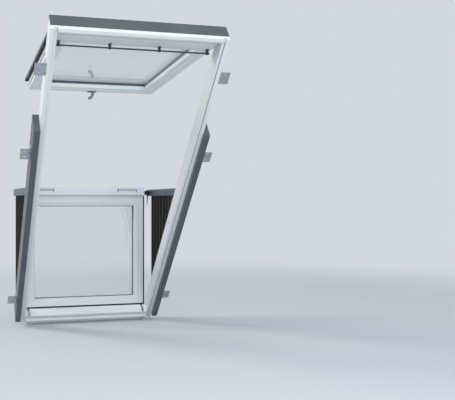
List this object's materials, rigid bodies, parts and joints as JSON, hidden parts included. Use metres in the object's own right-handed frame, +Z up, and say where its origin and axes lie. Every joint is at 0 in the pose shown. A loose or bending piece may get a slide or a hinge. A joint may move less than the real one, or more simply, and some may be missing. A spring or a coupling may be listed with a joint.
{
  "type": "roof balcony skylight",
  "caption": "Pitched-roof balcony skylight: top-hung upper sash, lower sash that stands up as a balcony front, and side railings that fold out with it.",
  "frame": {"origin": "middle of the frame's lower end face", "axes": "+X to the right as seen from the room, +Y outwards, +Z up; the window lies at a 43 degree roof pitch"},
  "size_m": [1.132, 2.0009, 1.8145],
  "materials": {
    "white_lacquered_timber": "smooth white lacquer",
    "clear_glass": "clear",
    "spacer_bar": "satin",
    "seal_rubber": "matte",
    "grey_cladding": "satin coil coated",
    "zinc_steel": "zinc plated",
    "dark_steel": "black powder coat",
    "grey_handrail": "grey anodised",
    "baluster_coat": "dark bronze anodised",
    "flap_metal": "satin",
    "dark_plastic": "fine texture",
    "grey_lever": "satin",
    "white_lever": "smooth"
  },
  "bodies": {
    "frame": {"frame_left": "white_lacquered_timber", "frame_right": "white_lacquered_timber", "frame_top": "white_lacquered_timber", "frame_sill": "white_lacquered_timber", "frame_seal": "seal_rubber", "pocket_left": "grey_cladding", "pocket_right": "grey_cladding", "frame_casings": "grey_cladding", "mounting_brackets": "zinc_steel", "top_hinge_plates": "zinc_steel", "sill_hinge_brackets": "zinc_steel"},
    "upper_sash": {"upper_stile_left": "white_lacquered_timber", "upper_stile_right": "white_lacquered_timber", "upper_top_rail": "white_lacquered_timber", "upper_bottom_rail": "white_lacquered_timber", "upper_panes": "clear_glass", "upper_spacer": "spacer_bar", "upper_glazing_seals": "seal_rubber", "upper_cladding": "grey_cladding", "upper_hinge_shoes": "zinc_steel", "handle_plate": "grey_lever"},
    "vent_flap": {"vent_flap": "white_lacquered_timber", "flap_brackets": "dark_plastic", "control_bar": "flap_metal"},
    "handle": {"handle_lever": "grey_lever"},
    "lower_sash": {"lower_stile_left": "white_lacquered_timber", "lower_stile_right": "white_lacquered_timber", "lower_top_rail": "white_lacquered_timber", "lower_bottom_rail": "white_lacquered_timber", "lower_panes": "clear_glass", "lower_spacer": "spacer_bar", "lower_glazing_seals": "seal_rubber", "lower_cladding": "grey_cladding", "sill_hinge_arms": "zinc_steel", "rail_brackets": "dark_steel", "latch_bases": "dark_plastic"},
    "latch_left": {"latch_lever_left": "white_lever"},
    "latch_right": {"latch_lever_right": "white_lever"},
    "handrail_left": {"handrail_left": "grey_handrail"},
    "baluster_left_1": {"baluster_left_1": "baluster_coat"},
    "baluster_left_2": {"baluster_left_2": "baluster_coat"},
    "baluster_left_3": {"baluster_left_3": "baluster_coat"},
    "baluster_left_4": {"baluster_left_4": "baluster_coat"},
    "baluster_left_5": {"baluster_left_5": "baluster_coat"},
    "baluster_left_6": {"baluster_left_6": "baluster_coat"},
    "baluster_left_7": {"baluster_left_7": "baluster_coat"},
    "baluster_left_8": {"baluster_left_8": "baluster_coat"},
    "baluster_left_9": {"baluster_left_9": "baluster_coat"},
    "tie_bar_left": {"tie_bar_left": "zinc_steel"},
    "handrail_right": {"handrail_right": "grey_handrail"},
    "baluster_right_1": {"baluster_right_1": "baluster_coat"},
    "baluster_right_2": {"baluster_right_2": "baluster_coat"},
    "baluster_right_3": {"baluster_right_3": "baluster_coat"},
    "baluster_right_4": {"baluster_right_4": "baluster_coat"},
    "baluster_right_5": {"baluster_right_5": "baluster_coat"},
    "baluster_right_6": {"baluster_right_6": "baluster_coat"},
    "baluster_right_7": {"baluster_right_7": "baluster_coat"},
    "baluster_right_8": {"baluster_right_8": "baluster_coat"},
    "baluster_right_9": {"baluster_right_9": "baluster_coat"},
    "tie_bar_right": {"tie_bar_right": "zinc_steel"}
  },
  "joints": [
    {"name": "upper_sash_hinge", "type": "hinge", "parent": "frame", "child": "upper_sash", "pos_m": [0, -1.76874, 1.71911], "axis": [-1, 0, 0], "range_deg": [-5, 40]},
    {"name": "vent_flap_hinge", "type": "hinge", "parent": "upper_sash", "child": "vent_flap", "pos_m": [0, -1.71921, 1.67045], "axis": [-1, 0, 0], "range_deg": [0, 35]},
    {"name": "handle_turn", "type": "hinge", "parent": "upper_sash", "child": "handle", "pos_m": [0.005, -0.25695, 1.5798], "axis": [0, 0.0523, 0.9986], "range_deg": [0, 90]},
    {"name": "lower_sash_hinge", "type": "hinge", "parent": "frame", "child": "lower_sash", "pos_m": [0, 0.00772, -0.03864], "axis": [1, 0, 0], "range_deg": [0, 47]},
    {"name": "latch_left_hinge", "type": "hinge", "parent": "lower_sash", "child": "latch_left", "pos_m": [-0.302, -0.01428, 0.90585], "axis": [1, 0, 0], "range_deg": [0, 70]},
    {"name": "handrail_left_hinge", "type": "hinge", "parent": "lower_sash", "child": "handrail_left", "pos_m": [-0.489, 0.06972, 0.88336], "axis": [1, 0, 0], "range_deg": [-90.5, 0.5]},
    {"name": "baluster_left_1_hinge", "type": "hinge", "parent": "handrail_left", "child": "baluster_left_1", "pos_m": [-0.489, -0.03278, 0.87335], "axis": [1, 0, 0], "range_deg": [-0.5, 83.5]},
    {"name": "baluster_left_2_hinge", "type": "hinge", "parent": "handrail_left", "child": "baluster_left_2", "pos_m": [-0.489, -0.11578, 0.87335], "axis": [1, 0, 0], "range_deg": [-0.5, 83.5]},
    {"name": "baluster_left_3_hinge", "type": "hinge", "parent": "handrail_left", "child": "baluster_left_3", "pos_m": [-0.489, -0.19878, 0.87335], "axis": [1, 0, 0], "range_deg": [-0.5, 83.5]},
    {"name": "baluster_left_4_hinge", "type": "hinge", "parent": "handrail_left", "child": "baluster_left_4", "pos_m": [-0.489, -0.28178, 0.87335], "axis": [1, 0, 0], "range_deg": [-0.5, 83.5]},
    {"name": "baluster_left_5_hinge", "type": "hinge", "parent": "handrail_left", "child": "baluster_left_5", "pos_m": [-0.489, -0.36478, 0.87335], "axis": [1, 0, 0], "range_deg": [-0.5, 83.5]},
    {"name": "baluster_left_6_hinge", "type": "hinge", "parent": "handrail_left", "child": "baluster_left_6", "pos_m": [-0.489, -0.44778, 0.87335], "axis": [1, 0, 0], "range_deg": [-0.5, 83.5]},
    {"name": "baluster_left_7_hinge", "type": "hinge", "parent": "handrail_left", "child": "baluster_left_7", "pos_m": [-0.489, -0.53078, 0.87335], "axis": [1, 0, 0], "range_deg": [-0.5, 83.5]},
    {"name": "baluster_left_8_hinge", "type": "hinge", "parent": "handrail_left", "child": "baluster_left_8", "pos_m": [-0.489, -0.61378, 0.87335], "axis": [1, 0, 0], "range_deg": [-0.5, 83.5]},
    {"name": "baluster_left_9_hinge", "type": "hinge", "parent": "handrail_left", "child": "baluster_left_9", "pos_m": [-0.489, -0.69678, 0.87335], "axis": [1, 0, 0], "range_deg": [-0.5, 83.5]},
    {"name": "tie_bar_left_hinge", "type": "hinge", "parent": "baluster_left_1", "child": "tie_bar_left", "pos_m": [-0.489, -0.0182, 0.88983], "axis": [1, 0, 0], "range_deg": [-83.5, 0.5]},
    {"name": "latch_right_hinge", "type": "hinge", "parent": "lower_sash", "child": "latch_right", "pos_m": [0.302, -0.01428, 0.90585], "axis": [1, 0, 0], "range_deg": [0, 70]},
    {"name": "handrail_right_hinge", "type": "hinge", "parent": "lower_sash", "child": "handrail_right", "pos_m": [0.489, 0.06972, 0.88336], "axis": [1, 0, 0], "range_deg": [-90.5, 0.5]},
    {"name": "baluster_right_1_hinge", "type": "hinge", "parent": "handrail_right", "child": "baluster_right_1", "pos_m": [0.489, -0.03278, 0.87335], "axis": [1, 0, 0], "range_deg": [-0.5, 83.5]},
    {"name": "baluster_right_2_hinge", "type": "hinge", "parent": "handrail_right", "child": "baluster_right_2", "pos_m": [0.489, -0.11578, 0.87335], "axis": [1, 0, 0], "range_deg": [-0.5, 83.5]},
    {"name": "baluster_right_3_hinge", "type": "hinge", "parent": "handrail_right", "child": "baluster_right_3", "pos_m": [0.489, -0.19878, 0.87335], "axis": [1, 0, 0], "range_deg": [-0.5, 83.5]},
    {"name": "baluster_right_4_hinge", "type": "hinge", "parent": "handrail_right", "child": "baluster_right_4", "pos_m": [0.489, -0.28178, 0.87335], "axis": [1, 0, 0], "range_deg": [-0.5, 83.5]},
    {"name": "baluster_right_5_hinge", "type": "hinge", "parent": "handrail_right", "child": "baluster_right_5", "pos_m": [0.489, -0.36478, 0.87335], "axis": [1, 0, 0], "range_deg": [-0.5, 83.5]},
    {"name": "baluster_right_6_hinge", "type": "hinge", "parent": "handrail_right", "child": "baluster_right_6", "pos_m": [0.489, -0.44778, 0.87335], "axis": [1, 0, 0], "range_deg": [-0.5, 83.5]},
    {"name": "baluster_right_7_hinge", "type": "hinge", "parent": "handrail_right", "child": "baluster_right_7", "pos_m": [0.489, -0.53078, 0.87335], "axis": [1, 0, 0], "range_deg": [-0.5, 83.5]},
    {"name": "baluster_right_8_hinge", "type": "hinge", "parent": "handrail_right", "child": "baluster_right_8", "pos_m": [0.489, -0.61378, 0.87335], "axis": [1, 0, 0], "range_deg": [-0.5, 83.5]},
    {"name": "baluster_right_9_hinge", "type": "hinge", "parent": "handrail_right", "child": "baluster_right_9", "pos_m": [0.489, -0.69678, 0.87335], "axis": [1, 0, 0], "range_deg": [-0.5, 83.5]},
    {"name": "tie_bar_right_hinge", "type": "hinge", "parent": "baluster_right_1", "child": "tie_bar_right", "pos_m": [0.489, -0.0182, 0.88983], "axis": [1, 0, 0], "range_deg": [-83.5, 0.5]}
  ],
  "couplings": [
    {"joint": "handrail_left_hinge", "follows": "lower_sash_hinge", "ratio": -1.9149},
    {"joint": "baluster_left_1_hinge", "follows": "lower_sash_hinge", "ratio": 1.766},
    {"joint": "baluster_left_2_hinge", "follows": "lower_sash_hinge", "ratio": 1.766},
    {"joint": "baluster_left_3_hinge", "follows": "lower_sash_hinge", "ratio": 1.766},
    {"joint": "baluster_left_4_hinge", "follows": "lower_sash_hinge", "ratio": 1.766},
    {"joint": "baluster_left_5_hinge", "follows": "lower_sash_hinge", "ratio": 1.766},
    {"joint": "baluster_left_6_hinge", "follows": "lower_sash_hinge", "ratio": 1.766},
    {"joint": "baluster_left_7_hinge", "follows": "lower_sash_hinge", "ratio": 1.766},
    {"joint": "baluster_left_8_hinge", "follows": "lower_sash_hinge", "ratio": 1.766},
    {"joint": "baluster_left_9_hinge", "follows": "lower_sash_hinge", "ratio": 1.766},
    {"joint": "tie_bar_left_hinge", "follows": "lower_sash_hinge", "ratio": -1.766},
    {"joint": "handrail_right_hinge", "follows": "lower_sash_hinge", "ratio": -1.9149},
    {"joint": "baluster_right_1_hinge", "follows": "lower_sash_hinge", "ratio": 1.766},
    {"joint": "baluster_right_2_hinge", "follows": "lower_sash_hinge", "ratio": 1.766},
    {"joint": "baluster_right_3_hinge", "follows": "lower_sash_hinge", "ratio": 1.766},
    {"joint": "baluster_right_4_hinge", "follows": "lower_sash_hinge", "ratio": 1.766},
    {"joint": "baluster_right_5_hinge", "follows": "lower_sash_hinge", "ratio": 1.766},
    {"joint": "baluster_right_6_hinge", "follows": "lower_sash_hinge", "ratio": 1.766},
    {"joint": "baluster_right_7_hinge", "follows": "lower_sash_hinge", "ratio": 1.766},
    {"joint": "baluster_right_8_hinge", "follows": "lower_sash_hinge", "ratio": 1.766},
    {"joint": "baluster_right_9_hinge", "follows": "lower_sash_hinge", "ratio": 1.766},
    {"joint": "tie_bar_right_hinge", "follows": "lower_sash_hinge", "ratio": -1.766}
  ]
}
